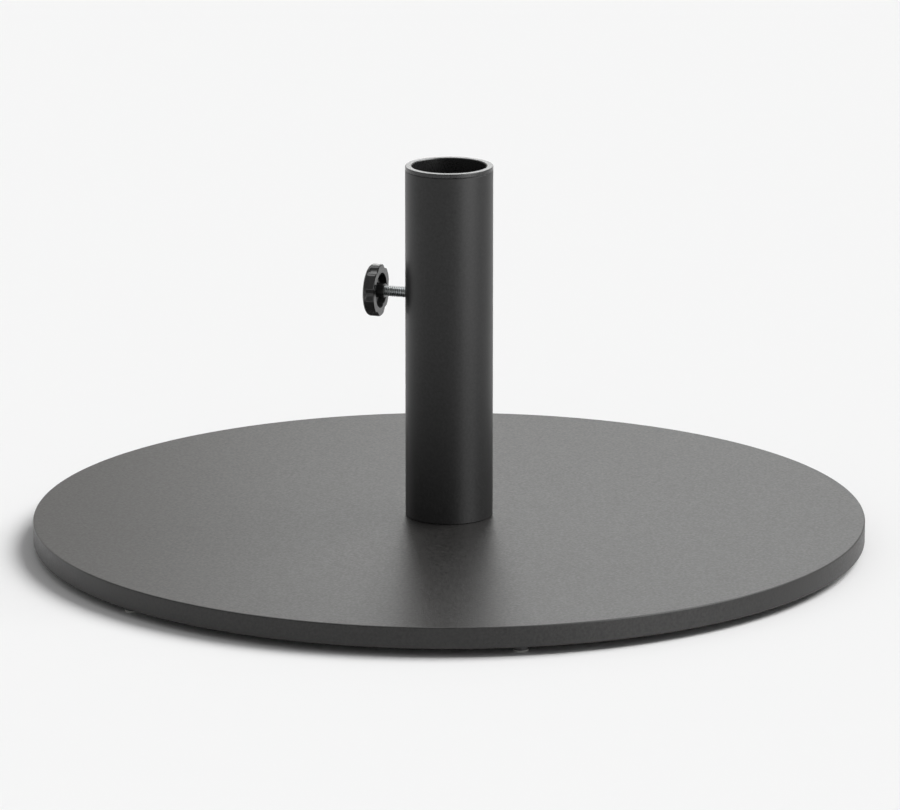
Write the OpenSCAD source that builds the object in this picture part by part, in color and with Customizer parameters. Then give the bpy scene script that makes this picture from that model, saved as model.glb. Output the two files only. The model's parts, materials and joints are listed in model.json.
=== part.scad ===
// Parasol base: a round steel ballast plate on six feet, an upright stem tube that takes
// the parasol pole, a plastic collar in the stem's mouth and a lobed clamp knob.
// Millimetres. The origin is on the floor, on the stem's axis. +Z is up, and the clamp
// screw lies along X with its knob on the -X side.

/* [Ballast plate] */
// Diameter of the plate
plate_d = 605; // [450:5:700]
// Thickness of the plate
plate_t = 15.5; // [14:0.5:25]
// Bevel on the plate's two edges
plate_bevel = 0.8; // [0.2:0.1:2]

/* [Stem] */
// Outer diameter of the stem tube
stem_d = 63.5; // [62:0.5:66]
// Wall thickness of the stem tube
stem_wall = 2.5; // [2:0.1:3]
// Length of the stem tube, from the plate's top
stem_h = 256; // [220:1:400]
// Thickness of the disc welded into the stem's foot
stem_floor_t = 14; // [12:0.5:18]

/* [Collar] */
// Bore of the collar, which guides the parasol pole
collar_bore_d = 54; // [50:0.1:55]
// Height of the collar's flange above the stem tube
collar_flange_t = 3; // [2:0.1:6]
// Length of the collar's sleeve inside the stem tube
collar_sleeve_h = 35; // [20:1:45]

/* [Clamp] */
// Height of the clamp screw above the plate's top
clamp_h = 163.3; // [60:0.1:200]
// Major diameter of the clamp screw's thread, 5/16 in
screw_d = 7.94; // [6:0.01:8]
// Distance from the stem's axis to the face of the knob's rim
knob_stand_off = 51.5; // [49:0.1:70]
// Diameter over the knob's lobes
knob_d = 37.8; // [34:0.1:50]
// Thickness of the knob's rim
knob_t = 8.8; // [8.5:0.1:14]
// Number of lobes round the knob
knob_lobes = 6; // [5:1:8]

/* [Feet] */
// Number of feet
foot_count = 6; // [3:1:8]
// Height of a foot below the plate
foot_h = 6; // [6:0.5:10]
// Diameter of a foot
foot_d = 11.2; // [10:0.1:20]
// Distance from the plate's edge to the side of a foot
foot_inset = 8; // [3:0.5:60]
// Turn of the ring of feet about the stem, in degrees from +X
foot_turn = -2.7; // [-30:0.1:30]

/* [Hidden] */
$fn = 96;

// The main levels and radii.
plate_z = foot_h;
stem_z = plate_z + plate_t;
collar_z = stem_z + stem_h;
stem_r = stem_d / 2;
stem_bore_r = stem_r - stem_wall;
gap = 0.05; // running or seating clearance on the radius
cut = 1;    // how far a cutting shape runs past the face that it opens

// The M12 bolt that holds the stem, in a recess under the plate.
bolt_d = 12;
bolt_grip = 9;
bolt_head_h = 7.5;
bolt_head_af = 18;
bolt_clear_d = 12.6;
recess_d = 32;
recess_h = 10;
flat_washer_d = 24;
flat_washer_t = 2.5;
spring_washer_d = 20.5;
spring_washer_t = 3;
spring_washer_split = 1.6;
bolt_length = flat_washer_t + spring_washer_t + plate_t - recess_h + bolt_grip;
recess_z = plate_z + recess_h;
spring_washer_z = recess_z - flat_washer_t - spring_washer_t;

// The drain through the stem's floor and the plate.
drain_d = 6;
drain_y = 21.5;

// The collar.
collar_sleeve_r = stem_bore_r - 0.1;
collar_edge = 0.5;
collar_lip = 1.2;

// The threaded boss in the stem's wall. Its inner end stays out of the pole's way.
boss_d = 14;
boss_inner = collar_bore_d / 2 + 0.3;
clamp_z = stem_z + clamp_h;

// The clamp screw, measured outwards from the stem's axis along -X.
screw_r = screw_d / 2;
screw_bore_r = screw_r + gap;
tip_face = boss_inner + 0.1;
tip_head_d = 6.2;
tip_head_t = 2;
tip_stem_d = 4;
tip_stem_h = 3;
screw_end = tip_face + tip_head_t + gap;
screw_head_af = 12.7;
screw_head_h = 3.5;

// The knob, measured outwards from the face of its rim.
knob_r = knob_d / 2;
cap_r = 8.9;
cap_t = 1.8;
cap_seat = 0.8;
pocket_u = knob_t - cap_seat - screw_head_h;
hub_r = 9;
hub_face = pocket_u - 1;
nose_r = 5.2;
nose_h = 3;
knob_recess_r = 12.6;
knob_lip = 0.6;
knob_recess_h = knob_t - 2.5;
knob_back_edge = 0.8;
knob_front_edge = 2.5;
flute_r = 8;
flute_sink = 1.5;
flute_stop = 2;

// The feet.
foot_r = foot_d / 2;
foot_circle_r = plate_d / 2 - foot_inset - foot_r;
sole_t = 1.5;
sole_spigot_r = 3;
glide_stem_r = 3.9;
glide_stem_h = 8;
glide_hole_r = 4;
glide_hole_h = 9;
glide_edge = 0.6;

// A disc from z = 0 to h with its lower and upper edges rounded.
module rounded_disc(r, h, low, high) {
    rotate_extrude() {
        translate([0, low]) square([r, h - low - high]);
        square([r - low, low + cut / 10]);
        translate([0, h - high - cut / 10]) square([r - high, high + cut / 10]);
        translate([r - low, low]) intersection() {
            circle(low);
            translate([0, -low]) square(2 * low);
        }
        translate([r - high, h - high]) intersection() {
            circle(high);
            translate([0, -high]) square(2 * high);
        }
    }
}

// A solid tube from z = 0 to h.
module ring(outer_r, inner_r, h) {
    difference() {
        cylinder(r = outer_r, h = h);
        translate([0, 0, -cut]) cylinder(r = inner_r, h = h + 2 * cut);
    }
}

// A hexagonal prism from z = 0 to h, measured across its flats.
module hexagon(across_flats, h) {
    cylinder(d = across_flats / cos(30), h = h, $fn = 6);
}

// Turns z into the distance outwards along the clamp screw's axis.
module on_clamp_axis(distance) {
    translate([-distance, 0, clamp_z]) rotate([0, -90, 0]) children();
}

// Puts a shape at one foot, counted from 1.
module at_foot(i) {
    rotate(foot_turn + (i - 1) * 360 / foot_count)
        translate([foot_circle_r, 0, 0])
            children();
}

// Solid steel disc with bevelled edges, the bolt's recess, the drain and a hole for each foot.
module base_plate() {
    r = plate_d / 2;
    b = plate_bevel;
    color("#5c5b59") difference() {
        translate([0, 0, plate_z]) rotate_extrude($fn = 360)
            polygon([[0, 0], [r - b, 0], [r, b], [r, plate_t - b], [r - b, plate_t], [0, plate_t]]);
        translate([0, 0, plate_z - cut]) cylinder(d = bolt_clear_d, h = plate_t + 2 * cut);
        translate([0, 0, plate_z - cut]) cylinder(d = recess_d, h = recess_h + cut);
        translate([0, drain_y, plate_z - cut]) cylinder(d = drain_d, h = plate_t + 2 * cut);
        for (i = [1:foot_count])
            at_foot(i) translate([0, 0, plate_z - cut]) cylinder(r = glide_hole_r, h = glide_hole_h + cut);
    }
}

// Upright steel tube with a round hole in its side for the threaded boss.
module stem_tube() {
    color("#3a3a3a") difference() {
        translate([0, 0, stem_z]) ring(stem_r, stem_bore_r, stem_h);
        on_clamp_axis(stem_bore_r - 2 * cut) cylinder(d = boss_d, h = stem_wall + 4 * cut);
    }
}

// Steel disc welded into the foot of the stem: tapped for the bolt and drilled for the drain.
module stem_floor() {
    color("#3a3a3a") translate([0, 0, stem_z]) difference() {
        cylinder(r = stem_bore_r - gap, h = stem_floor_t);
        translate([0, 0, -cut]) cylinder(r = bolt_d / 2 + gap, h = stem_floor_t + 2 * cut);
        translate([0, drain_y, -cut]) cylinder(d = drain_d, h = stem_floor_t + 2 * cut);
    }
}

// Hex-head bolt that pulls the stem down on to the plate.
module stem_bolt() {
    color("#b9bbbd") translate([0, 0, spring_washer_z]) {
        translate([0, 0, -bolt_head_h]) hexagon(bolt_head_af, bolt_head_h);
        cylinder(d = bolt_d, h = bolt_length);
    }
}

module bolt_flat_washer() {
    color("#b9bbbd") translate([0, 0, recess_z - flat_washer_t])
        ring(flat_washer_d / 2, bolt_clear_d / 2, flat_washer_t);
}

// Split ring that keeps the bolt tight.
module bolt_spring_washer() {
    color("#b9bbbd") translate([0, 0, spring_washer_z]) difference() {
        ring(spring_washer_d / 2, bolt_clear_d / 2, spring_washer_t);
        translate([0, -spring_washer_split / 2, -cut])
            cube([spring_washer_d, spring_washer_split, spring_washer_t + 2 * cut]);
    }
}

// Plastic bush: a rounded flange on the stem's end and a sleeve inside it.
module top_collar() {
    bore_r = collar_bore_d / 2;
    color("#1c1c1c") translate([0, 0, collar_z]) difference() {
        union() {
            rounded_disc(stem_r, collar_flange_t, 0.3, collar_edge);
            translate([0, 0, -collar_sleeve_h]) cylinder(r = collar_sleeve_r, h = collar_sleeve_h + cut);
        }
        translate([0, 0, -collar_sleeve_h - cut])
            cylinder(r = bore_r, h = collar_sleeve_h + collar_flange_t + 2 * cut);
        translate([0, 0, collar_flange_t - collar_lip])
            cylinder(r1 = bore_r, r2 = bore_r + 2 * collar_lip, h = 2 * collar_lip);
    }
}

// Threaded steel boss let into the stem's wall and ground flush with its outside.
module clamp_boss() {
    color("#3a3a3a") intersection() {
        on_clamp_axis(boss_inner) ring(boss_d / 2 - 0.02, screw_bore_r, stem_r);
        translate([0, 0, stem_z]) cylinder(r = stem_r - 0.02, h = stem_h);
    }
}

// Zinc-plated clamp screw. Its hex head sits in the knob, and its end is bored for the tip.
module clamp_screw() {
    head_at = knob_stand_off + pocket_u;
    color("#c4c6c8") difference() {
        union() {
            on_clamp_axis(screw_end) cylinder(r = screw_r, h = head_at - screw_end + cut);
            on_clamp_axis(head_at) hexagon(screw_head_af, screw_head_h);
        }
        on_clamp_axis(screw_end - cut) cylinder(d = tip_stem_d + 2 * gap, h = tip_stem_h + 0.5 + cut);
    }
}

// Moulded plastic knob: a lobed rim, a hollow behind it, and a hub that holds the screw's head.
// The flutes between the lobes stop short of the front edge.
module clamp_knob() {
    color("#161616") on_clamp_axis(knob_stand_off) difference() {
        union() {
            difference() {
                rounded_disc(knob_r, knob_t, knob_back_edge, knob_front_edge);
                translate([0, 0, -cut]) cylinder(r = knob_recess_r, h = knob_recess_h + cut);
                translate([0, 0, -knob_lip])
                    cylinder(r1 = knob_recess_r + 2 * knob_lip, r2 = knob_recess_r, h = 2 * knob_lip);
                for (i = [0:knob_lobes - 1])
                    rotate(90 + i * 360 / knob_lobes)
                        translate([knob_r + flute_r - flute_sink, 0, -cut])
                            cylinder(r = flute_r, h = knob_t - flute_stop + cut);
            }
            translate([0, 0, hub_face]) cylinder(r = hub_r, h = knob_recess_h - hub_face + cut);
            translate([0, 0, -nose_h]) cylinder(r = nose_r, h = nose_h + hub_face + cut / 10);
        }
        translate([0, 0, -nose_h - cut]) cylinder(r = screw_r + gap, h = knob_t + nose_h);
        translate([0, 0, pocket_u]) hexagon(screw_head_af + 2 * gap, knob_t);
        translate([0, 0, pocket_u + screw_head_h]) cylinder(r = cap_r + gap, h = knob_t);
    }
}

// Snap-in cap over the screw's head.
module knob_cap() {
    color("#161616") on_clamp_axis(knob_stand_off + pocket_u + screw_head_h)
        rounded_disc(cap_r, cap_t, 0.2, 0.9);
}

// Nylon tip that swivels in the end of the screw and presses on the pole.
module screw_tip() {
    color("#e6e2d6") {
        on_clamp_axis(tip_face) rounded_disc(tip_head_d / 2, tip_head_t, 0.4, 0.2);
        on_clamp_axis(tip_face + tip_head_t / 2) cylinder(d = tip_stem_d, h = tip_stem_h + tip_head_t / 2);
    }
}

// Push-in nylon glide: a round pad under the plate and a stem up in its hole.
module foot_glide(i) {
    color("#2a2a2a") at_foot(i) difference() {
        union() {
            translate([0, 0, sole_t]) rounded_disc(foot_r, foot_h - sole_t, 0.2, glide_edge);
            translate([0, 0, plate_z - cut]) cylinder(r = glide_stem_r, h = glide_stem_h + cut);
        }
        cylinder(r = sole_spigot_r + gap, h = 2 * sole_t);
    }
}

// Soft sole under a glide, held by a short spigot.
module foot_sole(i) {
    color("#8f8f8c") at_foot(i) {
        rounded_disc(foot_r - 0.2, sole_t, 0.4, 0.1);
        translate([0, 0, sole_t / 2]) cylinder(r = sole_spigot_r, h = sole_t * 1.4);
    }
}

base_plate();
stem_tube();
stem_floor();
stem_bolt();
bolt_flat_washer();
bolt_spring_washer();
top_collar();
clamp_boss();
clamp_screw();
clamp_knob();
knob_cap();
screw_tip();
for (i = [1:foot_count]) {
    foot_glide(i);
    foot_sole(i);
}
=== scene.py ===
"""Parasol base: a powder-coated steel plate on small feet, an upright stem tube with a plastic
collar, and a lobed knob whose screw clamps the parasol's pole.

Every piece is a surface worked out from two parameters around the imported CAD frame, in metres,
with its place in its mesh.
"""

import json
import math

import bmesh
import bpy
import numpy as np
from bpy.props import FloatProperty, FloatVectorProperty, IntProperty, PointerProperty
from mathutils import Matrix, Vector


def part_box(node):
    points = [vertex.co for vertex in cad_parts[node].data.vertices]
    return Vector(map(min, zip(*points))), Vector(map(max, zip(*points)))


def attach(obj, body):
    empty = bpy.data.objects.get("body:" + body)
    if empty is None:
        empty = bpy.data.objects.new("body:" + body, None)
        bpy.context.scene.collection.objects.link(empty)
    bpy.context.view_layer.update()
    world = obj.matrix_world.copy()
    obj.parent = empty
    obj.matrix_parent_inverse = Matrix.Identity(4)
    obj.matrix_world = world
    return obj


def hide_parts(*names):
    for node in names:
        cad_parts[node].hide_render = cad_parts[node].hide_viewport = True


bl_info = {
    "name": "Parasol Base",
    "version": (1, 0, 0),
    "blender": (4, 5, 0),
    "location": "View3D > Sidebar > Parasol Base",
    "description": "Builds a round parasol base with a clamp knob around its packed CAD frame",
    "category": "Add Mesh",
}

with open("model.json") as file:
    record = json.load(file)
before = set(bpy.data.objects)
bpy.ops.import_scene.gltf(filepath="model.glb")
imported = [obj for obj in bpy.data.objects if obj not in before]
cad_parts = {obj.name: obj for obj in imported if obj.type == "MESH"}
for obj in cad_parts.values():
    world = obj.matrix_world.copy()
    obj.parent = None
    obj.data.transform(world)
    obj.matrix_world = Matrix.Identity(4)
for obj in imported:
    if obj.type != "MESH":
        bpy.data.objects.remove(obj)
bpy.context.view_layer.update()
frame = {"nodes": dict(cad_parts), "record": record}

MM = 0.001
FULL_TURN = 2 * math.pi

# The depth of a screw's thread as a part of its pitch, and the rows that draw one pitch of it.
THREAD_DEPTH = 0.613
ROWS_PER_PITCH = 12

# A radius just beyond a hexagon's corners, as a part of half its width across the flats.
PAST_CORNERS = 1.16

# Points closer than this are made one, in metres.
WELD = 2e-6


# ---------------------------------------------------------------------------------------------
# Sizes that come from the frame, and sizes inside the pieces that no box gives
# ---------------------------------------------------------------------------------------------

def mount(name):
    """The record's mount of that name."""
    return next(m for m in frame["record"]["mounts"] if m["name"] == name)


PLATE_LOW, PLATE_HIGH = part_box("base_plate")
TUBE_LOW, TUBE_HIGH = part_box("stem_tube")
COLLAR_LOW, COLLAR_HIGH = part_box("top_collar")
FLOOR_LOW, FLOOR_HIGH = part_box("stem_floor")
BOSS_LOW, BOSS_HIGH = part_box("clamp_boss")
SCREW_LOW, SCREW_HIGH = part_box("clamp_screw")
KNOB_LOW, KNOB_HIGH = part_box("clamp_knob")
CAP_LOW, CAP_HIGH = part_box("knob_cap")
TIP_LOW, TIP_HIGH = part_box("screw_tip")
BOLT_LOW, BOLT_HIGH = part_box("stem_bolt")
FLAT_WASHER_LOW, FLAT_WASHER_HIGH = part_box("bolt_flat_washer")
SPRING_WASHER_LOW, SPRING_WASHER_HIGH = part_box("bolt_spring_washer")

CLAMP_Z = (SCREW_LOW.z + SCREW_HIGH.z) / 2
BORE_R = mount("pole_bore")["dims"]["r_mm"] * MM
FEET = sorted(name.removeprefix("foot_glide_") for name in frame["nodes"]
              if name.startswith("foot_glide_"))

# The clamp screw's thread over its crests, the hole that it turns in, and its head's height.
SCREW_R = 3.97 * MM
SCREW_HOLE_R = 4.02 * MM
SCREW_HEAD = 3.5 * MM

# Half the width of the hole that the stem's bolt passes through in both washers.
WASHER_HOLE_R = 6.3 * MM


def linear(code):
    """An sRGB hex colour as linear red, green and blue."""
    parts = np.array([int(code[i:i + 2], 16) for i in (1, 3, 5)]) / 255
    return tuple(np.where(parts <= 0.04045, parts / 12.92, ((parts + 0.055) / 1.055) ** 2.4))


# ---------------------------------------------------------------------------------------------
# Settings
# ---------------------------------------------------------------------------------------------

def size(name, description, value, low, high):
    """A length that the user may change, given in millimetres."""
    return FloatProperty(name=name, description=description, default=value * MM, min=low * MM,
                         max=high * MM, subtype="DISTANCE", unit="LENGTH", precision=5)


def colour(name, description, code):
    """A colour that the user may change, given as an sRGB hex value."""
    return FloatVectorProperty(name=name, description=description, default=linear(code),
                               min=0, max=1, size=3, subtype="COLOR")


class PlateSettings(bpy.types.PropertyGroup):
    edge: size("Edge radius", "Rounding of the plate's two edges under its coat", 0.9, 0.3, 3)
    recess_radius: size("Recess radius", "Radius of the bolt's recess under the plate", 16, 14, 30)
    recess_depth: size("Recess depth", "Depth of the bolt's recess", 10, 4, 12)
    hole_radius: size("Bolt hole radius", "Radius of the hole for the stem's bolt", 6.3, 6.1, 8)
    drain_radius: size("Drain radius", "Radius of the rain drain", 3, 1, 4)
    drain_place: size("Drain place", "Distance from the axis to the drain", 21.5, 20, 24)
    coat: colour("Coat", "Colour of the plate's powder coat", "#21201f")


class StemSettings(bpy.types.PropertyGroup):
    wall: size("Tube wall", "Wall thickness of the stem tube", 2.5, 1, 4)
    hole_radius: size("Side hole radius", "Radius of the hole for the threaded boss", 7, 5, 9)
    chamfer: size("End chamfer", "Chamfer on the tube's ends", 0.45, 0.1, 1)
    flange: size("Collar flange", "Thickness of the collar's flange", 3, 2, 6)
    flange_edge: size("Collar edge", "Rounding of the collar's outer edge", 0.5, 0.3, 2.5)
    lip: size("Collar lip", "Chamfer in the collar's mouth, which leads the pole in", 0.6, 0.3, 2)
    coat: colour("Coat", "Colour of the stem's powder coat", "#262626")
    collar: colour("Collar", "Colour of the collar's plastic", "#2c2c2c")


class ClampSettings(bpy.types.PropertyGroup):
    pitch: size("Thread pitch", "Pitch of the clamp screw, 18 to the inch", 1.411, 0.8, 2.5)
    knob_radius: size("Knob radius", "Radius over the knob's lobes", 18.9, 15, 25)
    flute_radius: size("Flute radius", "Radius of the hollows between the lobes", 8, 2, 12)
    flute_depth: size("Flute depth", "Depth of the hollows between the lobes", 1.5, 0.5, 5)
    lobes: IntProperty(name="Lobes", description="Lobes round the knob", default=6, min=4, max=9)
    knob: colour("Knob", "Colour of the knob's plastic", "#2a2a2a")
    zinc: colour("Zinc", "Colour of the zinc plating", "#e6e8ea")


class FeetSettings(bpy.types.PropertyGroup):
    sole: size("Sole thickness", "Thickness of the soft sole", 1.5, 0.8, 3)
    edge: size("Glide edge", "Rounding of the glide's upper edge", 0.6, 0.2, 1.5)
    glide: colour("Glide", "Colour of the nylon glides", "#484848")
    rubber: colour("Sole", "Colour of the soft soles", "#c4c4c0")


class StageSettings(bpy.types.PropertyGroup):
    floor_radius: FloatProperty(name="Floor radius", description="Radius of the studio floor",
                                default=40, min=5, max=100, subtype="DISTANCE", unit="LENGTH")
    floor: colour("Floor", "Colour of the studio floor", "#f2f2f2")


class ParasolBaseSettings(bpy.types.PropertyGroup):
    plate: PointerProperty(type=PlateSettings)
    stem: PointerProperty(type=StemSettings)
    clamp: PointerProperty(type=ClampSettings)
    feet: PointerProperty(type=FeetSettings)
    stage: PointerProperty(type=StageSettings)


# ---------------------------------------------------------------------------------------------
# Surfaces
# ---------------------------------------------------------------------------------------------

def rounded(corners, radii, closed=True, steps=6):
    """An outline with round corners. Each corner gives way to an arc that touches both its sides,
    with a guard point just before and just after it, so that the flats beside it shade as flats.
    A corner of radius 0 stays as it is."""
    corners = np.asarray(corners, float)
    count, outline = len(corners), []
    for i, radius in enumerate(radii):
        here = corners[i]
        if radius == 0 or (not closed and i in (0, count - 1)):
            outline.append(here[None])
            continue
        back, ahead = corners[i - 1] - here, corners[(i + 1) % count] - here
        back, ahead = back / np.linalg.norm(back), ahead / np.linalg.norm(ahead)
        half = math.acos(np.clip(back @ ahead, -1, 1)) / 2
        centre = here + (back + ahead) / np.linalg.norm(back + ahead) * radius / math.sin(half)
        reach, sweep = radius / math.tan(half), math.pi - 2 * half
        start, end = here + back * reach - centre, here + ahead * reach - centre
        k = np.linspace(0, 1, steps + 1)[:, None]
        arc = centre + (np.sin((1 - k) * sweep) * start + np.sin(k * sweep) * end) / math.sin(sweep)
        guard = 0.1 * radius
        outline += [(arc[0] + back * guard)[None], arc, (arc[-1] + ahead * guard)[None]]
    return np.concatenate(outline)


def angles(segments):
    """Evenly spaced angles round a full turn."""
    return np.arange(segments) * FULL_TURN / segments


def turned(outline, segments=96, centre=(0, 0)):
    """A surface turned about a vertical axis: the outline's (radius, height) at every angle."""
    radius, height = np.asarray(outline, float).T
    a = angles(segments)
    return np.stack([centre[0] + radius[:, None] * np.cos(a),
                     centre[1] + radius[:, None] * np.sin(a),
                     np.repeat(height[:, None], segments, 1)], -1)


def on_clamp_axis(radius, place, a):
    """Points round the clamp screw's axis: place is measured outwards along -X from the stem's
    axis, and the angle goes from +Y towards +Z."""
    radius, place, a = np.broadcast_arrays(radius, place, a)
    return np.stack([-place, radius * np.cos(a), CLAMP_Z + radius * np.sin(a)], -1)


def hexagon(flat, a, corner):
    """Distance from a hexagon's centre to its side at each angle, with a corner at that angle."""
    sixth = FULL_TURN / 6
    return flat / np.cos((a - corner) % sixth - sixth / 2)


def tooth(phase):
    """Height of a screw thread, 0 at its root and 1 at its crest: a triangle wave with its tips
    cut flat, a quarter of the wave at the root and an eighth at the crest."""
    root, crest = 1 / 4, 1 / 8
    wave = np.abs(phase % 1 * 2 - 1)
    return np.clip((wave - root) / (1 - root - crest), 0, 1)


def fastener(stations, major, pitch, flat, corner, segments=48):
    """Radius and place of a hex-head fastener's surface as a grid. Each station is (place, limit,
    kind): the surface there is a plain circle, the thread or the hexagon, and never outside limit,
    which gives the chamfers. A thread's crest moves one pitch along in each turn."""
    a = angles(segments)
    place, limit, kind = [], [], []
    for (p0, l0, k0), (p1, l1, k1) in zip(stations[:-1], stations[1:]):
        threaded = k0 == k1 == "thread"
        rows = max(2, math.ceil(abs(p1 - p0) / pitch * ROWS_PER_PITCH)) if threaded else 1
        t = np.arange(rows) / rows
        place.append(p0 + (p1 - p0) * t)
        limit.append(l0 + (l1 - l0) * t)
        kind += [k0] * rows
    place = np.append(np.concatenate(place), stations[-1][0])[:, None]
    limit = np.append(np.concatenate(limit), stations[-1][1])[:, None]
    kind = np.array(kind + [stations[-1][2]])[:, None]
    thread = major - THREAD_DEPTH * pitch * (1 - tooth(-place / pitch - a / FULL_TURN))
    shape = np.select([kind == "thread", kind == "hex"], [thread, hexagon(flat, a, corner)], limit)
    return np.minimum(shape, limit), np.broadcast_to(place, shape.shape), a


def loop_round(low, high, across, along):
    """Points round the rectangle between two corners, evenly spaced on each side, as fractions
    that go from low to high along both directions."""
    u, v = np.arange(across) / across, np.arange(along) / along
    zero_u, zero_v = np.zeros(across), np.zeros(along)
    side = [np.stack(pair, -1) for pair in
            ((u, zero_u), (1 - zero_v, v), (1 - u, 1 - zero_u), (zero_v, 1 - v))]
    return np.asarray(low) + np.concatenate(side) * (np.asarray(high) - np.asarray(low))


def round_hole(edge, centre, radius, rings):
    """A flat patch from a round hole to the closed loop of points round it: each spoke goes from
    the circle to the loop in even steps."""
    spoke = edge - centre
    hole = centre + spoke * (radius / np.linalg.norm(spoke, axis=-1, keepdims=True))
    v = np.linspace(0, 1, rings)[:, None, None]
    return (1 - v) * hole + v * edge


def quads(rows, columns, wrap_rows, wrap_columns):
    """The corners of a grid's faces. A wrapped direction joins its last line to its first."""
    r = np.arange(rows if wrap_rows else rows - 1)
    c = np.arange(columns if wrap_columns else columns - 1)
    r, c = (g.ravel() for g in np.meshgrid(r, c, indexing="ij"))
    r1, c1 = (r + 1) % rows, (c + 1) % columns
    return np.stack([r * columns + c, r * columns + c1, r1 * columns + c1, r1 * columns + c], -1)


def piece(name, grids, finish, body, stands_for, close_rows=False):
    """Makes one object out of grids of points: joins them, closes seams and poles, and turns the
    faces outwards. A grid wraps round its second direction, and an open one comes in a tuple."""
    points, faces, first = [], [], 0
    for grid in grids:
        wrap = not isinstance(grid, tuple)
        grid = grid if wrap else grid[0]
        rows, columns = grid.shape[:2]
        points.append(grid.reshape(-1, 3))
        faces.append(first + quads(rows, columns, close_rows, wrap))
        first += rows * columns
    mesh = bpy.data.meshes.new(name)
    mesh.from_pydata(np.concatenate(points).tolist(), [], np.concatenate(faces).tolist())
    work = bmesh.new()
    work.from_mesh(mesh)
    bmesh.ops.remove_doubles(work, verts=work.verts, dist=WELD)
    bmesh.ops.recalc_face_normals(work, faces=work.faces)
    work.to_mesh(mesh)
    work.free()
    mesh.shade_smooth()
    mesh.set_sharp_from_angle(angle=math.radians(32))
    made = bpy.data.objects.new(name, mesh)
    bpy.context.scene.collection.objects.link(made)
    mesh.materials.append(finish)
    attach(made, body)
    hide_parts(*stands_for)
    return made


# ---------------------------------------------------------------------------------------------
# Materials
# ---------------------------------------------------------------------------------------------

def add(tree, kind, inputs=None, **settings):
    """Adds a node of that kind, sets its properties, and sets or links its inputs."""
    made = tree.nodes.new(kind)
    for name, value in settings.items():
        setattr(made, name, value)
    for socket, value in (inputs or {}).items():
        if isinstance(value, bpy.types.NodeSocket):
            tree.links.new(value, made.inputs[socket])
        else:
            made.inputs[socket].default_value = value
    return made


def new_material(name):
    """An empty node material, with Object coordinates and the surface output ready."""
    material = bpy.data.materials.new(name)
    material.use_nodes = True
    tree = material.node_tree
    tree.nodes.clear()
    place = add(tree, "ShaderNodeTexCoord").outputs["Object"]
    output = add(tree, "ShaderNodeOutputMaterial")
    return material, tree, place, output


def grains(millimetres):
    """The scale that makes a noise's grains that size, in an object measured in metres."""
    return 1 / (millimetres * MM)


def powder_coat(name, rgb, roughness, ior, speckle, grit):
    """Polyester powder coat, sprayed and baked: a satin skin with a fine orange peel, in which
    reflections blur out, and a faint cloudiness from its changing thickness. From grain to grain
    its colour swings by speckle, as a part of 1, and its roughness by grit."""
    material, tree, place, output = new_material(name)
    # Orange peel is 0.3 to 0.5 mm across; drawn at 2 mm, because finer doesn't show.
    peel = add(tree, "ShaderNodeTexNoise", {"Vector": place, "Scale": grains(2), "Detail": 3.0,
                                            "Roughness": 0.6})
    cloud = add(tree, "ShaderNodeTexNoise", {"Vector": place, "Scale": grains(70), "Detail": 3.0,
                                             "Roughness": 0.55})
    mix = add(tree, "ShaderNodeMix", {"Factor": cloud.outputs["Fac"]}, data_type="RGBA")
    mix.inputs["A"].default_value = (*[c * 0.95 for c in rgb], 1)
    mix.inputs["B"].default_value = (*[c * 1.05 for c in rgb], 1)
    speck = add(tree, "ShaderNodeMapRange", {"Value": peel.outputs["Fac"], "From Min": 0.3,
                                             "From Max": 0.7, "To Min": 1 - speckle,
                                             "To Max": 1 + speckle})
    tint = add(tree, "ShaderNodeVectorMath", {0: mix.outputs["Result"],
                                              "Scale": speck.outputs["Result"]}, operation="SCALE")
    dull = add(tree, "ShaderNodeMapRange", {"Value": peel.outputs["Fac"], "From Min": 0.3,
                                            "From Max": 0.7, "To Min": roughness - grit,
                                            "To Max": roughness + grit})
    bump = add(tree, "ShaderNodeBump", {"Height": peel.outputs["Fac"], "Strength": 0.35,
                                        "Distance": 0.15 * MM})
    shader = add(tree, "ShaderNodeBsdfPrincipled", {"Base Color": tint.outputs["Vector"],
                                                    "Roughness": dull.outputs["Result"],
                                                    "Normal": bump.outputs["Normal"], "IOR": ior})
    tree.links.new(shader.outputs["BSDF"], output.inputs["Surface"])
    return material


def moulded_plastic(name, rgb, roughness, texture_mm, texture_depth):
    """Injection-moulded thermoplastic: an even colour and a gloss that the mould's own texture
    breaks up a little, duller where the texture stands proud."""
    material, tree, place, output = new_material(name)
    # A mould's texture is 0.05 to 0.2 mm across; drawn coarser, because finer doesn't show.
    texture = add(tree, "ShaderNodeTexNoise", {"Vector": place, "Scale": grains(texture_mm),
                                               "Detail": 3.0, "Roughness": 0.5})
    shade = add(tree, "ShaderNodeMapRange", {"Value": texture.outputs["Fac"], "To Min": 0.85,
                                             "To Max": 1.15})
    tint = add(tree, "ShaderNodeVectorMath", {0: rgb, "Scale": shade.outputs["Result"]},
               operation="SCALE")
    dull = add(tree, "ShaderNodeMapRange", {"Value": texture.outputs["Fac"], "From Min": 0.3,
                                            "From Max": 0.7, "To Min": roughness - 0.04,
                                            "To Max": roughness + 0.04})
    bump = add(tree, "ShaderNodeBump", {"Height": texture.outputs["Fac"], "Strength": 0.4,
                                        "Distance": texture_depth * MM})
    shader = add(tree, "ShaderNodeBsdfPrincipled", {"Base Color": tint.outputs["Vector"],
                                                    "Roughness": dull.outputs["Result"],
                                                    "Normal": bump.outputs["Normal"], "IOR": 1.49})
    tree.links.new(shader.outputs["BSDF"], output.inputs["Surface"])
    return material


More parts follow.
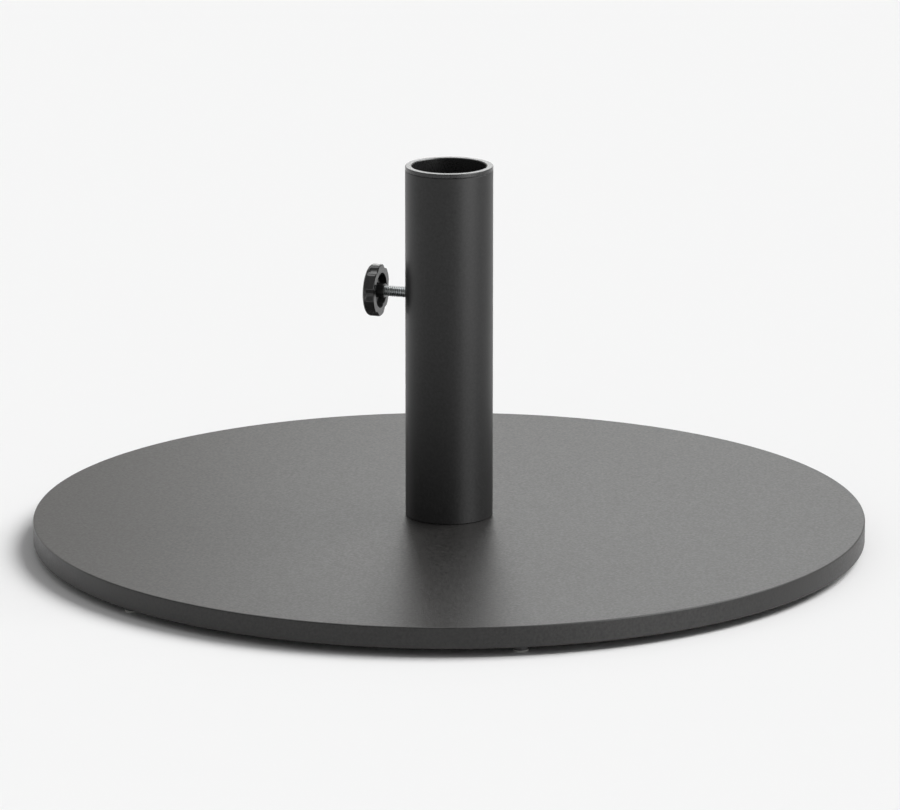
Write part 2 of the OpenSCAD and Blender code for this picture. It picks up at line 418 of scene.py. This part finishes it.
def zinc_plate(name, rgb, roots=None):
    """Bright zinc electroplate over turned steel: a cool, slightly cloudy metal whose clear
    passivation shifts a little between bluish and straw. On the clamp screw, roots gives the
    thread's root and crest radii, and painted shade darkens the metal towards the roots."""
    material, tree, place, output = new_material(name)
    cloud = add(tree, "ShaderNodeTexNoise", {"Vector": place, "Scale": grains(5), "Detail": 3.0})
    mix = add(tree, "ShaderNodeMix", {"Factor": cloud.outputs["Fac"]}, data_type="RGBA")
    mix.inputs["A"].default_value = (rgb[0] * 0.93, rgb[1] * 0.97, rgb[2], 1)
    mix.inputs["B"].default_value = (rgb[0], rgb[1] * 0.98, rgb[2] * 0.92, 1)
    tint = mix.outputs["Result"]
    if roots:
        # Painted shade: the metal darkens towards the thread's roots, by its distance from the
        # screw's axis.
        across = add(tree, "ShaderNodeMapping", {"Vector": place, "Location": (0, 0, -CLAMP_Z),
                                                 "Scale": (0, 1, 1)})
        reach = add(tree, "ShaderNodeVectorMath", {0: across.outputs["Vector"]}, operation="LENGTH")
        shade = add(tree, "ShaderNodeMapRange", {"Value": reach.outputs["Value"],
                                                 "From Min": roots[0], "From Max": roots[1],
                                                 "To Min": 0.2, "To Max": 1})
        tint = add(tree, "ShaderNodeVectorMath", {0: tint, "Scale": shade.outputs["Result"]},
                   operation="SCALE").outputs["Vector"]
    dull = add(tree, "ShaderNodeMapRange", {"Value": cloud.outputs["Fac"], "To Min": 0.2,
                                            "To Max": 0.4})
    shader = add(tree, "ShaderNodeBsdfPrincipled", {"Base Color": tint,
                                                    "Roughness": dull.outputs["Result"],
                                                    "Metallic": 1.0})
    tree.links.new(shader.outputs["BSDF"], output.inputs["Surface"])
    return material


def finish(name):
    """The material of that name, made when it is first asked for."""
    s = bpy.context.scene.parasol_base
    recipes = {
        "plate powder coat": lambda n: powder_coat(n, s.plate.coat, 0.42, 1.5, 0.5, 0.07),
        "stem powder coat": lambda n: powder_coat(n, s.stem.coat, 0.42, 1.42, 0.25, 0.03),
        "collar polypropylene": lambda n: moulded_plastic(n, s.stem.collar, 0.28, 0.8, 0.01),
        "knob phenolic": lambda n: moulded_plastic(n, s.clamp.knob, 0.24, 0.6, 0.02),
        "zinc plate": lambda n: zinc_plate(n, s.clamp.zinc),
        "zinc plate with painted root shade": lambda n: zinc_plate(n, s.clamp.zinc, (3.05 * MM, 3.55 * MM)),
        "natural nylon": lambda n: moulded_plastic(n, linear("#ddd8c8"), 0.4, 0.7, 0.03),
        "dark grey nylon": lambda n: moulded_plastic(n, s.feet.glide, 0.5, 0.7, 0.03),
        "grey rubber": lambda n: moulded_plastic(n, s.feet.rubber, 0.75, 0.5, 0.05),
    }
    return bpy.data.materials.get(name) or recipes[name](name)


# ---------------------------------------------------------------------------------------------
# Operators
# ---------------------------------------------------------------------------------------------

def ring_with_hole(inner, outer, z, hole_at, hole_radius, segments, half_sector, along):
    """A flat ring at height z with one round hole through it on the +Y side: an open fan for the
    ring, and a patch from the hole to the edge of the sector that the fan leaves out."""
    step = FULL_TURN / segments
    quarter = segments // 4
    fan = np.arange(quarter + half_sector, quarter + segments - half_sector + 1) * step
    radii = np.linspace(inner, outer, along + 1)[:, None]
    fan_points = np.stack([radii * np.cos(fan), radii * np.sin(fan),
                           np.full((along + 1, len(fan)), z)], -1)
    edge = loop_round((inner, (quarter - half_sector) * step),
                      (outer, (quarter + half_sector) * step), along, 2 * half_sector)
    edge = np.stack([edge[:, 0] * np.cos(edge[:, 1]), edge[:, 0] * np.sin(edge[:, 1])], -1)
    flat = round_hole(edge, np.array([0, hole_at]), hole_radius, 6)
    patch = np.concatenate([flat, np.full((*flat.shape[:2], 1), z)], -1)
    return (fan_points,), patch


class PARASOL_OT_plate(bpy.types.Operator):
    """Builds the plate: turned with round edges, recessed for the bolt, drilled for the drain"""
    bl_idname = "parasol_base.plate"
    bl_label = "Plate"
    bl_options = {"REGISTER", "UNDO"}

    def execute(self, context):
        s = context.scene.parasol_base.plate
        low, high, radius = PLATE_LOW.z, PLATE_HIGH.z, PLATE_HIGH.x
        recess_top = low + s.recess_depth
        # The drain goes through a flat ring between the turned inside and the turned outside.
        ring_inner, ring_outer = s.recess_radius + 0.8 * MM, s.drain_place + 6.7 * MM
        segments, half_sector, along = 360, 12, 8
        outside = rounded([(ring_outer, low), (radius, low), (radius, high), (ring_outer, high)],
                          [0, s.edge, s.edge, 0], closed=False)
        inside = rounded([(ring_inner, high), (s.hole_radius, high), (s.hole_radius, recess_top),
                          (s.recess_radius, recess_top), (s.recess_radius, low), (ring_inner, low)],
                         [0, 0.3 * MM, 0.3 * MM, 0.5 * MM, 0.4 * MM, 0], closed=False, steps=3)
        (lower_fan, lower_patch), (upper_fan, upper_patch) = [
            ring_with_hole(ring_inner, ring_outer, z, s.drain_place, s.drain_radius, segments,
                           half_sector, along) for z in (low, high)]
        drain = np.stack([lower_patch[0], upper_patch[0]])
        piece("plate", [turned(outside, segments), turned(inside, segments), lower_fan, lower_patch,
                        upper_fan, upper_patch, drain],
              finish("plate powder coat"), "base", ["base_plate"])
        return {"FINISHED"}


class PARASOL_OT_stem(bpy.types.Operator):
    """Builds the stem: the tube with its side hole, the threaded boss in it and the welded floor"""
    bl_idname = "parasol_base.stem"
    bl_label = "Stem"
    bl_options = {"REGISTER", "UNDO"}

    def tube_side(self, radius, low, high, hole_radius, segments=144, half_sector=18, along=16):
        """The wall of a tube with one round hole on its -X side: an open fan for the whole
        height, open strips above and below the hole's sector, and the patch round the hole, which
        reaches that far above and below it."""
        step, half = FULL_TURN / segments, segments // 2
        reach = 12 * MM
        fan = np.arange(half + half_sector, half + segments - half_sector + 1) * step
        sector = np.arange(half - half_sector, half + half_sector + 1) * step
        middle = CLAMP_Z + np.linspace(-reach, reach, along + 1)
        lower = np.linspace(low, CLAMP_Z - reach, 9)
        upper = np.linspace(CLAMP_Z + reach, high, 9)

        def wall(turn, heights):
            turn, heights = np.meshgrid(turn, heights)
            return np.stack([radius * np.cos(turn), radius * np.sin(turn), heights], -1)

        edge = loop_round((sector[0], CLAMP_Z - reach), (sector[-1], CLAMP_Z + reach),
                          len(sector) - 1, along)
        edge = np.stack([radius * np.sin(edge[:, 0]), edge[:, 1]], -1)
        flat = round_hole(edge, np.array([0, CLAMP_Z]), hole_radius, 7)
        y, z = flat[..., 0], flat[..., 1]
        patch = np.stack([-np.sqrt(radius ** 2 - y ** 2), y, z], -1)
        heights = np.concatenate([lower[:-1], middle, upper[1:]])
        return [(wall(fan, heights),), (wall(sector, lower),), (wall(sector, upper),), patch]

    def execute(self, context):
        s = context.scene.parasol_base.stem
        low, high, outer = TUBE_LOW.z, TUBE_HIGH.z, TUBE_HIGH.x
        inner, c = outer - s.wall, s.chamfer
        coat = finish("stem powder coat")
        outside = self.tube_side(outer, low + c, high - c, s.hole_radius)
        inside = self.tube_side(inner, low + c, high - c, s.hole_radius)
        hole = np.stack([outside[3][0], inside[3][0]])
        ends = [turned([(outer, z + d), (outer - c, z), (inner + c, z), (inner, z + d)], 144)
                for z, d in ((low, c), (high, -c))]
        piece("stem_tube_wall", [*outside, *inside, hole, *ends], coat, "base",
              ["stem_tube"])

        # The floor is a disc with a rounded rim, the bolt's tapped hole and the drain.
        plate = context.scene.parasol_base.plate
        radius, z0, z1 = FLOOR_HIGH.x, FLOOR_LOW.z, FLOOR_HIGH.z
        tap_r, ring_inner, ring_outer = 6.05 * MM, 12 * MM, radius - 1 * MM
        rim = rounded([(ring_outer, z0), (radius, z0), (radius, z1), (ring_outer, z1)],
                      [0, 0.4 * MM, 0.6 * MM, 0], closed=False, steps=3)
        tapped = rounded([(ring_inner, z1), (tap_r, z1), (tap_r, z0), (ring_inner, z0)],
                         [0, 0.6 * MM, 0.6 * MM, 0], closed=False, steps=2)
        segments, half_sector, along = 144, 10, 10
        (lower_fan, lower_patch), (upper_fan, upper_patch) = [
            ring_with_hole(ring_inner, ring_outer, z, plate.drain_place, plate.drain_radius,
                           segments, half_sector, along) for z in (z0, z1)]
        drain = np.stack([lower_patch[0], upper_patch[0]])
        piece("stem_floor_disc", [turned(rim, segments), turned(tapped, segments), lower_fan,
                                  lower_patch, upper_fan, upper_patch, drain],
              coat, "base", ["stem_floor"])

        # The boss is drawn 1 mm long and then stretched: the inner half of its outline stays at
        # its inner end, and the outer half follows the tube, just below its surface.
        a = angles(96)
        rim_r, drawn, sink = (BOSS_HIGH.z - BOSS_LOW.z) / 2, 1 * MM, 0.02 * MM
        outline = rounded([(SCREW_HOLE_R, 0), (rim_r, 0), (rim_r, drawn), (SCREW_HOLE_R, drawn)],
                          [0.3 * MM, 0.3 * MM, 0.28 * MM, 0.45 * MM], steps=4)
        radius, along = outline[:, :1], outline[:, 1:]
        surface = np.sqrt((outer - sink) ** 2 - (radius * np.cos(a)) ** 2)
        place = np.where(along < drawn / 2, -BOSS_HIGH.x + along, surface - (drawn - along))
        piece("boss", [on_clamp_axis(radius, place, a)], coat, "base",
              ["clamp_boss"], close_rows=True)
        return {"FINISHED"}


class PARASOL_OT_collar(bpy.types.Operator):
    """Builds the collar: a flange with a rounded rim and a lead-in, and a sleeve in the tube"""
    bl_idname = "parasol_base.collar"
    bl_label = "Collar"
    bl_options = {"REGISTER", "UNDO"}

    def execute(self, context):
        s = context.scene.parasol_base.stem
        low, high, outer = COLLAR_LOW.z, COLLAR_HIGH.z, COLLAR_HIGH.x
        play = 0.1 * MM
        sleeve = TUBE_HIGH.x - s.wall - play
        under = high - s.flange
        outline = rounded([(BORE_R, low), (sleeve, low), (sleeve, under), (outer, under),
                           (outer, high), (BORE_R + s.lip, high), (BORE_R, high - s.lip)],
                          [0.4 * MM, 0.4 * MM, 0.2 * MM, 0.3 * MM, s.flange_edge, 0.25 * MM,
                           0.25 * MM])
        piece("collar_bush", [turned(outline, 192)], finish("collar polypropylene"), "base",
              ["top_collar"], close_rows=True)
        return {"FINISHED"}


class PARASOL_OT_bolt(bpy.types.Operator):
    """Builds the bolt under the plate with its flat washer and its split spring washer"""
    bl_idname = "parasol_base.bolt"
    bl_label = "Bolt and washers"
    bl_options = {"REGISTER", "UNDO"}

    def execute(self, context):
        zinc = finish("zinc plate")
        low, high = BOLT_LOW.z, BOLT_HIGH.z
        head_top = SPRING_WASHER_LOW.z
        flat, major, pitch = BOLT_HIGH.y, 6 * MM, 1.75 * MM
        minor = major - THREAD_DEPTH * pitch
        face, beyond, thread_start = flat * 0.95, flat * PAST_CORNERS, head_top + 1 * MM
        stations = [(low, 0, "plain"), (low, face, "plain"), (low, face, "hex"),
                    (low + 0.9 * MM, beyond, "hex"), (head_top - 0.1 * MM, beyond, "hex"),
                    (head_top, flat * 0.98, "hex"), (head_top, major, "plain"),
                    (thread_start, major, "plain"), (thread_start, major, "thread"),
                    (high - 1.1 * MM, major, "thread"), (high, minor - 0.1 * MM, "thread"),
                    (high, 0, "plain")]
        radius, place, a = fastener(stations, major, pitch, flat, 0)
        grid = np.stack([radius * np.cos(a), radius * np.sin(a), place], -1)
        piece("hex_bolt", [grid], zinc, "base", ["stem_bolt"])

        z0, z1 = FLAT_WASHER_LOW.z, FLAT_WASHER_HIGH.z
        outer, inner = FLAT_WASHER_HIGH.x, WASHER_HOLE_R
        outline = rounded([(inner, z0), (outer, z0), (outer, z1), (inner, z1)],
                          [0.3 * MM, 0.7 * MM, 0.2 * MM, 0.2 * MM], steps=4)
        piece("plain_washer", [turned(outline, 96)], zinc, "base",
              ["bolt_flat_washer"], close_rows=True)

        # The split washer's section is carried round from one side of its slit to the other.
        z0, z1 = SPRING_WASHER_LOW.z, SPRING_WASHER_HIGH.z
        outer, slit = SPRING_WASHER_HIGH.y, 0.8 * MM
        section = rounded([(inner, z0), (outer, z0), (outer, z1), (inner, z1)],
                          [0.35 * MM] * 4, steps=4)
        radius, height = section.T
        start = np.arcsin(slit / radius)
        t = np.linspace(0, 1, 90)[:, None]
        a = start + t * (FULL_TURN - 2 * start)
        ring = np.stack([radius * np.cos(a), radius * np.sin(a),
                         np.broadcast_to(height, a.shape)], -1)
        ends = [np.stack([end, np.broadcast_to(end.mean(0), end.shape)])
                for end in (ring[0], ring[-1])]
        piece("split_washer", [ring, *ends], zinc, "base", ["bolt_spring_washer"])
        return {"FINISHED"}


class PARASOL_OT_screw(bpy.types.Operator):
    """Builds the clamp screw with its thread and hex head, and the nylon tip on its end"""
    bl_idname = "parasol_base.screw"
    bl_label = "Clamp screw"
    bl_options = {"REGISTER", "UNDO"}

    def execute(self, context):
        s = context.scene.parasol_base.clamp
        end, head_end, flat = -SCREW_HIGH.x, -SCREW_LOW.x, SCREW_HIGH.y
        head = head_end - SCREW_HEAD
        point = SCREW_R - THREAD_DEPTH * s.pitch - 0.1 * MM
        tip_hole, hole_end, thread_end = 2.05 * MM, end + 3.5 * MM, head - 1.5 * MM
        seat, beyond = flat * 0.97, flat * PAST_CORNERS
        stations = [(hole_end, 0, "plain"), (hole_end, tip_hole, "plain"), (end, tip_hole, "plain"),
                    (end, point, "plain"), (end, point, "thread"),
                    (end + 1 * MM, SCREW_R, "thread"), (thread_end, SCREW_R, "thread"),
                    (thread_end, SCREW_R, "plain"), (head, SCREW_R, "plain"), (head, seat, "plain"),
                    (head, seat, "hex"), (head + 0.15 * MM, beyond, "hex"),
                    (head_end - 0.7 * MM, beyond, "hex"), (head_end, flat * 0.95, "hex"),
                    (head_end, 0, "plain")]
        radius, place, a = fastener(stations, SCREW_R, s.pitch, flat, FULL_TURN / 4)
        piece("threaded_screw", [on_clamp_axis(radius, place, a)],
              finish("zinc plate with painted root shade"), "clamp_knob", ["clamp_screw"])

        face, back, head_r = -TIP_HIGH.x, -TIP_LOW.x, (TIP_HIGH.z - TIP_LOW.z) / 2
        shoulder, pin_r = face + 2 * MM, 2 * MM
        outline = rounded([(0, face), (head_r, face), (head_r, shoulder), (pin_r, shoulder),
                           (pin_r, back), (0, back)],
                          [0, 0.5 * MM, 0.25 * MM, 0.2 * MM, 0.3 * MM, 0], closed=False)
        piece("pressure_tip", [on_clamp_axis(outline[:, :1], outline[:, 1:], angles(64))],
              finish("natural nylon"), "clamp_tip", ["screw_tip"])
        return {"FINISHED"}


class PARASOL_OT_knob(bpy.types.Operator):
    """Builds the lobed knob, hollow at the back, and the domed cap in its face"""
    bl_idname = "parasol_base.knob"
    bl_label = "Knob"
    bl_options = {"REGISTER", "UNDO"}

    def rim(self, s, a):
        """Radius of the lobed rim at each angle: the lobes' circle or the nearest flute's circle,
        whichever is nearer the axis, with the corner between them blended."""
        pitch = FULL_TURN / s.lobes
        off = (a + pitch / 2) % pitch - pitch / 2
        far = s.knob_radius + s.flute_radius - s.flute_depth
        across = np.clip(s.flute_radius ** 2 - (far * np.sin(off)) ** 2, 0, None)
        flute = far * np.cos(off) - np.sqrt(across)
        soft = 0.9 * MM
        h = np.clip(0.5 + 0.5 * (flute - s.knob_radius) / soft, 0, 1)
        return flute + (s.knob_radius - flute) * h - soft * h * (1 - h)

    def execute(self, context):
        s = context.scene.parasol_base.clamp
        # Heights are measured from the back of the knob's rim, and its nose lies behind that.
        back = -SCREW_LOW.x - 8 * MM
        front, nose = -KNOB_LOW.x - back, -3 * MM
        web, seat = front - 2.5 * MM, front - 0.8 * MM
        pocket = seat - SCREW_HEAD
        hub = pocket - 1 * MM
        rim_r, inside_r, flat = s.knob_radius, 15 * MM, 6.4 * MM
        nose_r, hub_r, hollow_r, seat_r = 5.2 * MM, 9 * MM, 12.6 * MM, 8.95 * MM
        # The flutes run out between two distances from the front, and these rows follow them.
        deep, gone = 3.6 * MM, 2 * MM
        runout = np.linspace(front - deep, front - 2.7 * MM, 6)
        corners = [(SCREW_HOLE_R, nose), (nose_r, nose), (nose_r, hub), (hub_r, hub), (hub_r, web),
                   (hollow_r, web), (hollow_r, 0), (rim_r, 0), *((rim_r, k) for k in runout),
                   (rim_r, front), (seat_r, front), (seat_r, seat), (flat, seat), (flat, pocket),
                   (SCREW_HOLE_R, pocket)]
        radii = [0.2, 0.5, 0.5, 0.5, 0.8, 0.8, 0.5, 0.8, *[0] * len(runout),
                 2.5, 0.2, 0.1, 0, 0, 0.1]
        outline = rounded(corners, [r * MM for r in radii], steps=7)
        a = angles(288)
        radius, along = outline[:, :1], outline[:, 1:]
        depth = np.clip((front - gone - along) / (deep - gone), 0, 1)
        lobed = radius + (self.rim(s, a) - rim_r) * np.sin(depth * math.pi / 2)
        in_pocket = np.abs(radius - flat) < 0.01 * MM
        radius = np.select([radius > inside_r, in_pocket],
                           [lobed, hexagon(flat, a, FULL_TURN / 4)], radius)
        piece("lobed_knob", [on_clamp_axis(radius, back + along, a)], finish("knob phenolic"),
              "clamp_knob", ["clamp_knob"], close_rows=True)

        cap_back, cap_front, cap_r = -CAP_HIGH.x, -CAP_LOW.x, CAP_HIGH.y
        dome = 0.35 * MM
        outline = rounded([(0, cap_back), (cap_r, cap_back), (cap_r, cap_front - dome),
                           (0, cap_front)], [0, 0.2 * MM, 0.9 * MM, 0], closed=False)
        piece("snap_cap", [on_clamp_axis(outline[:, :1], outline[:, 1:], angles(96))],
              finish("knob phenolic"), "clamp_knob", ["knob_cap"])
        return {"FINISHED"}


class PARASOL_OT_feet(bpy.types.Operator):
    """Builds each push-in glide under the plate and the soft sole on it"""
    bl_idname = "parasol_base.feet"
    bl_label = "Feet"
    bl_options = {"REGISTER", "UNDO"}

    def execute(self, context):
        s = context.scene.parasol_base.feet
        under, pin_r, hole_r, hole_top, peg_r = PLATE_LOW.z, 3.9 * MM, 3.05 * MM, 3 * MM, 3 * MM
        for number in FEET:
            low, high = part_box("foot_glide_" + number)
            centre = ((low.x + high.x) / 2, (low.y + high.y) / 2)
            r, top = (high.x - low.x) / 2, high.z
            outline = rounded([(0, hole_top), (hole_r, hole_top), (hole_r, low.z), (r, low.z),
                               (r, under), (pin_r, under), (pin_r, top), (0, top)],
                              [0, 0.2 * MM, 0.2 * MM, 0.4 * MM, s.edge, 0.2 * MM, 0.8 * MM, 0],
                              closed=False, steps=4)
            piece("glide_" + number, [turned(outline, 64, centre)], finish("dark grey nylon"),
                  "base", ["foot_glide_" + number])
            low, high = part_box("foot_sole_" + number)
            r = (high.x - low.x) / 2
            outline = rounded([(0, low.z), (r, low.z), (r, s.sole), (peg_r, s.sole),
                               (peg_r, high.z), (0, high.z)],
                              [0, 0.5 * MM, 0.2 * MM, 0.1 * MM, 0.3 * MM, 0],
                              closed=False, steps=4)
            piece("sole_" + number, [turned(outline, 64, centre)], finish("grey rubber"), "base",
                  ["foot_sole_" + number])
        return {"FINISHED"}


class PARASOL_OT_stage(bpy.types.Operator):
    """Makes the pale floor, the studio light and the camera"""
    bl_idname = "parasol_base.stage"
    bl_label = "Stage"
    bl_options = {"REGISTER", "UNDO"}

    # The camera's turn about the stem and its tilt in degrees, and its distance from the stem's
    # axis and height above the plate in metres.
    turn, tilt, distance, height = 17.5, 14.015, 4.5935, 1.228

    # Each softbox: its name, its bearing and rise in degrees, its distance, width and height in
    # metres, its radiance and its tint. The two at the back make the sheen on the plate, and the
    # others the bright bands on the stem and the light on the knob and the screw.
    softboxes = (
        ("backdrop_panel", 179, 16, 3.0, 4.0, 1.8, 0.44, (1, 0.97, 0.9)),
        ("back_panel", 173, 20, 2.5, 1.1, 0.4, 3.4, (0.97, 0.99, 1)),
        ("side_panel", 53, 12, 2.0, 1.5, 1.2, 5.4, (1, 1, 1)),
        ("top_panel", -153, 65, 2.0, 1.2, 1.2, 3.0, (1, 1, 1)),
        ("left_panel", -130, 12, 2.0, 0.8, 1.0, 1.0, (1, 1, 1)),
    )

    def bearing(self, turn, rise):
        """The direction of a light: turn is its bearing from the camera's own, and rise its angle
        above the floor, both in degrees."""
        a, e = math.radians(self.turn + turn), math.radians(rise)
        return Vector((math.sin(a) * math.cos(e), -math.cos(a) * math.cos(e), math.sin(e)))

    def lamp(self, name, kind, away, distance, aim):
        """A light of that kind at that distance in the direction away from the aim, facing it."""
        made = bpy.data.objects.new(name, bpy.data.lights.new(name, kind))
        bpy.context.scene.collection.objects.link(made)
        made.location = Vector(aim) + away * distance
        made.rotation_euler = away.to_track_quat("Z", "Y").to_euler()
        made.visible_camera = False
        return made

    def sheen_panel(self, name, turn, rise, distance, width, height, radiance, tint):
        """A softbox that only shows as a reflection, so that the floor stays even under it."""
        made = self.lamp(name, "AREA", self.bearing(turn, rise), distance, (0, 0, 0.1))
        made.data.color = tint
        made.data.shape, made.data.size, made.data.size_y = "RECTANGLE", width, height
        made.data.energy = radiance * math.pi * width * height
        made.visible_diffuse = False

    def floor(self, s):
        """A flat disc of rings that widen with their distance from the stem."""
        radii = np.concatenate([[0], np.geomspace(0.2, s.floor_radius, 24)])
        grid = turned(np.stack([radii, np.zeros_like(radii)], -1), 128)
        mesh = bpy.data.meshes.new("studio_floor")
        faces = quads(*grid.shape[:2], False, True)
        mesh.from_pydata(grid.reshape(-1, 3).tolist(), [], faces.tolist())
        made = bpy.data.objects.new("studio_floor", mesh)
        bpy.context.scene.collection.objects.link(made)
        material, tree, place, output = new_material("matt white floor")
        cloud = add(tree, "ShaderNodeTexNoise", {"Vector": place, "Scale": grains(400),
                                                 "Detail": 2.0})
        shade = add(tree, "ShaderNodeMapRange", {"Value": cloud.outputs["Fac"], "To Min": 0.998,
                                                 "To Max": 1.002})
        tint = add(tree, "ShaderNodeVectorMath", {0: s.floor, "Scale": shade.outputs["Result"]},
                   operation="SCALE")
        shader = add(tree, "ShaderNodeBsdfDiffuse", {"Color": tint.outputs["Vector"]})
        tree.links.new(shader.outputs["BSDF"], output.inputs["Surface"])
        mesh.materials.append(material)

    def camera(self):
        """The camera, which looks down at the stem from the front with a long lens."""
        data = bpy.data.cameras.new("camera")
        data.lens, data.sensor_width = 261.0, 36.0
        data.shift_x = 0.00095
        data.clip_start, data.clip_end = 0.1, 200
        made = bpy.data.objects.new("camera", data)
        bpy.context.scene.collection.objects.link(made)
        a = math.radians(self.turn)
        made.location = (math.sin(a) * self.distance, -math.cos(a) * self.distance,
                         PLATE_HIGH.z + self.height)
        heading = Matrix.Rotation(a, 3, "Z")
        pitch = Matrix.Rotation(math.radians(90 - self.tilt), 3, "X")
        made.rotation_euler = (heading @ pitch).to_euler()
        bpy.context.scene.camera = made

    def sky(self, horizon, zenith):
        """A plain white studio sky whose strength grows evenly with the sine of the height."""
        world = bpy.data.worlds.new("studio_sky")
        world.use_nodes = True
        tree = world.node_tree
        tree.nodes.clear()
        way = add(tree, "ShaderNodeTexCoord").outputs["Generated"]
        up = add(tree, "ShaderNodeSeparateXYZ", {"Vector": way}).outputs["Z"]
        strength = add(tree, "ShaderNodeMapRange", {"Value": up, "To Min": horizon,
                                                    "To Max": zenith})
        shine = add(tree, "ShaderNodeBackground", {"Color": (1, 1, 1, 1),
                                                   "Strength": strength.outputs["Result"]})
        add(tree, "ShaderNodeOutputWorld", {"Surface": shine.outputs["Background"]})
        bpy.context.scene.world = world

    def execute(self, context):
        self.floor(context.scene.parasol_base.stage)
        self.camera()
        self.sky(0.32, 0.40)
        # The sky and this broad key light together bring the floor to one even pale tone.
        key = self.lamp("key", "SUN", self.bearing(105, 50), 3, (0, 0, 0))
        key.data.energy, key.data.angle = 2.744, math.radians(40)
        for softbox in self.softboxes:
            self.sheen_panel(*softbox)
        context.scene.view_settings.view_transform = "Standard"
        context.scene.view_settings.look = "None"
        return {"FINISHED"}


class PARASOL_PT_panel(bpy.types.Panel):
    """Lists the pieces in the 3D view's sidebar"""
    bl_idname = "PARASOL_PT_panel"
    bl_label = "Parasol Base"
    bl_space_type = "VIEW_3D"
    bl_region_type = "UI"
    bl_category = "Parasol Base"

    def draw(self, context):
        settings = context.scene.parasol_base
        for maker in MAKERS:
            self.layout.operator(maker.bl_idname)
        for group in ("plate", "stem", "clamp", "feet", "stage"):
            box = self.layout.box()
            box.label(text=group.title())
            part = getattr(settings, group)
            for name in part.__annotations__:
                box.prop(part, name)


MAKERS = (PARASOL_OT_stage, PARASOL_OT_plate, PARASOL_OT_stem, PARASOL_OT_collar, PARASOL_OT_bolt,
          PARASOL_OT_screw, PARASOL_OT_knob, PARASOL_OT_feet)
CLASSES = (PlateSettings, StemSettings, ClampSettings, FeetSettings, StageSettings,
           ParasolBaseSettings, *MAKERS, PARASOL_PT_panel)


def register():
    for cls in CLASSES:
        bpy.utils.register_class(cls)
    bpy.types.Scene.parasol_base = PointerProperty(type=ParasolBaseSettings)


def unregister():
    del bpy.types.Scene.parasol_base
    for cls in reversed(CLASSES):
        bpy.utils.unregister_class(cls)


def main():
    register()
    for maker in MAKERS:
        group, name = maker.bl_idname.split(".")
        getattr(getattr(bpy.ops, group), name)()


if __name__ == "__main__":
    main()
